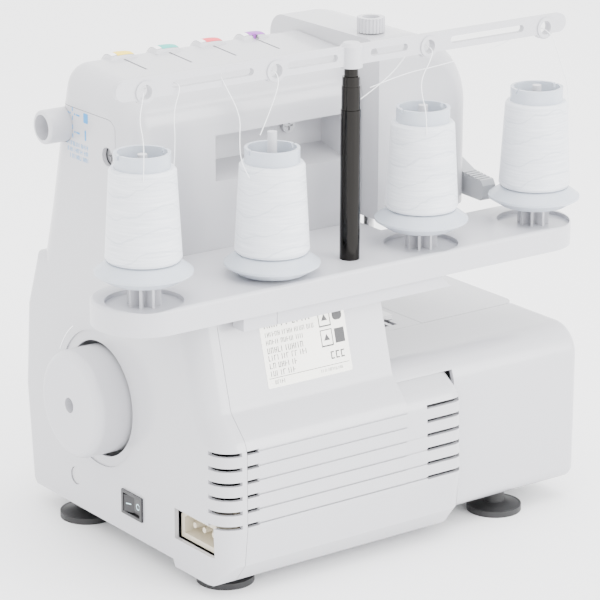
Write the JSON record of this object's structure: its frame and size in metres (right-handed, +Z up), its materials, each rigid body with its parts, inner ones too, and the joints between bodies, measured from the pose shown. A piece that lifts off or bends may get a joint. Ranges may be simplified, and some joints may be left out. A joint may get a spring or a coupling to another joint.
{
  "type": "overlock sewing machine",
  "caption": "Desktop serger overlock machine with a rear thread tray, spools on pins, a telescopic mast with a thread guide bar, a handwheel and a vented motor cover.",
  "frame": {"origin": "On the table, under the middle of the machine's outline: the middle of the bounding box in X and Y, with Z = 0 at the bottom of the feet.", "axes": "+Z up. +X toward the handwheel side. -Y toward the operator, +Y toward the thread stand behind the machine."},
  "size_m": [0.3206, 0.212, 0.29],
  "materials": {
    "case_white": "moulded, glossy cool white",
    "guide_white": "moulded, satin white",
    "steel": "ground steel",
    "cast_alloy": "die cast and plain pressed metal",
    "chrome": "polished chrome plate",
    "black_rubber": "black moulded rubber",
    "black_plastic": "black moulded plastic",
    "cream_plastic": "cream moulded plastic",
    "grey_plastic": "grey moulded plastic",
    "spool_plastic": "cloudy translucent white plastic",
    "thread": "white polyester thread with a satin sheen"
  },
  "bodies": {
    "machine": {"base_pan": "cast_alloy", "feet": "black_rubber", "side_cover": "case_white", "arm_cover": "case_white", "front_cover": "case_white", "motor_cover": "case_white", "bed_cover": "case_white", "head_cover": "case_white", "needle_plate": "steel", "main_frame": "cast_alloy", "motor": "cast_alloy", "drive_belt": "black_rubber", "lower_knife": "steel", "tension_discs": "steel", "switch_bezel": "black_plastic", "power_inlet": "cream_plastic", "case_screws": "steel", "thread_tray": "case_white", "tray_bracket": "case_white", "mast_tube": "chrome", "spool_pins": "guide_white", "presser_spring": "steel", "thread_strand_1": "thread", "thread_strand_2": "thread", "thread_strand_3": "thread", "thread_strand_4": "thread"},
    "wheel_unit": {"handwheel": "case_white", "main_shaft": "steel", "shaft_pulley": "black_plastic"},
    "motor_rotor": {"motor_pulley": "black_plastic"},
    "needle_unit": {"needle_bar": "steel", "needles": "steel"},
    "presser_unit": {"presser_bar": "steel", "presser_foot": "steel"},
    "lifter_unit": {"lifter_lever": "grey_plastic"},
    "pressure_unit": {"pressure_knob": "case_white"},
    "lower_looper_unit": {"lower_looper": "steel"},
    "upper_looper_unit": {"upper_looper": "steel"},
    "knife_unit": {"upper_knife": "steel"},
    "feed_unit": {"feed_dogs": "steel"},
    "dial_unit_1": {"tension_dial_1": "grey_plastic"},
    "dial_unit_2": {"tension_dial_2": "grey_plastic"},
    "dial_unit_3": {"tension_dial_3": "grey_plastic"},
    "dial_unit_4": {"tension_dial_4": "grey_plastic"},
    "release_unit": {"release_knob": "case_white"},
    "stitch_dial_unit": {"stitch_dial": "case_white"},
    "rocker_unit": {"switch_rocker": "black_plastic"},
    "door_unit": {"looper_door": "case_white"},
    "cloth_plate_unit": {"cloth_plate": "steel"},
    "mast_middle_unit": {"mast_middle": "chrome"},
    "mast_rod_unit": {"mast_rod": "chrome", "guide_bar": "guide_white"},
    "spool_unit_1": {"spool_1": "spool_plastic", "thread_cone_1": "thread"},
    "spool_unit_2": {"spool_2": "spool_plastic", "thread_cone_2": "thread"},
    "spool_unit_3": {"spool_3": "spool_plastic", "thread_cone_3": "thread"},
    "spool_unit_4": {"spool_4": "spool_plastic", "thread_cone_4": "thread"}
  },
  "joints": [
    {"name": "handwheel_spin", "type": "hinge", "parent": "machine", "child": "wheel_unit", "pos_m": [0.11, -0.0156, 0.084], "axis": [1, 0, 0], "continuous": true},
    {"name": "motor_spin", "type": "hinge", "parent": "machine", "child": "motor_rotor", "pos_m": [0.05, 0.058, 0.044], "axis": [1, 0, 0], "continuous": true},
    {"name": "needle_bar_slide", "type": "slide", "parent": "machine", "child": "needle_unit", "axis": [0, 0, 1], "range_m": [-0.024, 0]},
    {"name": "presser_lift", "type": "hinge", "parent": "machine", "child": "lifter_unit", "pos_m": [-0.1, 0, 0.19], "axis": [1, 0, 0], "range_deg": [0, 14]},
    {"name": "presser_slide", "type": "slide", "parent": "machine", "child": "presser_unit", "axis": [0, 0, 1], "range_m": [0, 0.00599], "deforming": ["presser_spring"]},
    {"name": "pressure_turn", "type": "hinge", "parent": "machine", "child": "pressure_unit", "pos_m": [-0.064, 0.008, 0.28], "axis": [0, 0, 1], "range_deg": [-360, 360]},
    {"name": "lower_looper_swing", "type": "hinge", "parent": "machine", "child": "lower_looper_unit", "pos_m": [-0.052, -0.004, 0.06], "axis": [0, 1, 0], "range_deg": [-14, 8]},
    {"name": "upper_looper_swing", "type": "hinge", "parent": "machine", "child": "upper_looper_unit", "pos_m": [-0.04, -0.024, 0.058], "axis": [0, 1, 0], "range_deg": [-12, 8]},
    {"name": "knife_swing", "type": "hinge", "parent": "machine", "child": "knife_unit", "pos_m": [-0.042, 0.03, 0.09], "axis": [1, 0, 0], "range_deg": [-6, 4]},
    {"name": "feed_slide", "type": "slide", "parent": "machine", "child": "feed_unit", "axis": [0, 1, 0], "range_m": [0, 0.004]},
    {"name": "tension_dial_1_turn", "type": "hinge", "parent": "machine", "child": "dial_unit_1", "pos_m": [0.065, -0.046, 0.246], "axis": [1, 0, 0], "range_deg": [-135, 135]},
    {"name": "tension_dial_2_turn", "type": "hinge", "parent": "machine", "child": "dial_unit_2", "pos_m": [0.035, -0.046, 0.246], "axis": [1, 0, 0], "range_deg": [-135, 135]},
    {"name": "tension_dial_3_turn", "type": "hinge", "parent": "machine", "child": "dial_unit_3", "pos_m": [0.005, -0.046, 0.246], "axis": [1, 0, 0], "range_deg": [-135, 135]},
    {"name": "tension_dial_4_turn", "type": "hinge", "parent": "machine", "child": "dial_unit_4", "pos_m": [-0.025, -0.046, 0.246], "axis": [1, 0, 0], "range_deg": [-135, 135]},
    {"name": "release_push", "type": "slide", "parent": "machine", "child": "release_unit", "axis": [1, 0, 0], "range_m": [-0.008, 0], "stiffness_N_per_m": 250, "springref_m": 0.002},
    {"name": "stitch_dial_turn", "type": "hinge", "parent": "machine", "child": "stitch_dial_unit", "pos_m": [-0.156, 0.03, 0.06], "axis": [1, 0, 0], "range_deg": [-150, 150]},
    {"name": "switch_rock", "type": "hinge", "parent": "machine", "child": "rocker_unit", "pos_m": [0.104, 0.0182, 0.0307], "axis": [0, 0, 1], "range_deg": [-16, 0]},
    {"name": "looper_door_open", "type": "hinge", "parent": "machine", "child": "door_unit", "pos_m": [-0.03, -0.099, 0.0215], "axis": [1, 0, 0], "range_deg": [0, 75]},
    {"name": "cloth_plate_open", "type": "hinge", "parent": "machine", "child": "cloth_plate_unit", "pos_m": [-0.1455, 0.0272, 0.1047], "axis": [0, 0, 1], "range_deg": [-80, 0]},
    {"name": "mast_rod_slide", "type": "slide", "parent": "machine", "child": "mast_rod_unit", "axis": [0, 0, 1], "range_m": [0, 0.12], "deforming": ["thread_strand_1", "thread_strand_2", "thread_strand_3", "thread_strand_4"]},
    {"name": "mast_middle_slide", "type": "slide", "parent": "machine", "child": "mast_middle_unit", "axis": [0, 0, 1], "range_m": [0, 0.06]},
    {"name": "spool_1_spin", "type": "hinge", "parent": "machine", "child": "spool_unit_1", "pos_m": [0.1341, 0.072, 0.2], "axis": [0, 0, 1], "continuous": true},
    {"name": "spool_2_spin", "type": "hinge", "parent": "machine", "child": "spool_unit_2", "pos_m": [0.0514, 0.072, 0.2], "axis": [0, 0, 1], "continuous": true},
    {"name": "spool_3_spin", "type": "hinge", "parent": "machine", "child": "spool_unit_3", "pos_m": [-0.0514, 0.072, 0.2], "axis": [0, 0, 1], "continuous": true},
    {"name": "spool_4_spin", "type": "hinge", "parent": "machine", "child": "spool_unit_4", "pos_m": [-0.1341, 0.072, 0.2], "axis": [0, 0, 1], "continuous": true}
  ],
  "couplings": [
    {"joint": "motor_spin", "follows": "handwheel_spin", "ratio": 2.8889},
    {"joint": "presser_lift", "follows": "presser_slide", "rad_per_m": 40.73},
    {"joint": "mast_middle_slide", "follows": "mast_rod_slide", "ratio": 0.5}
  ]
}
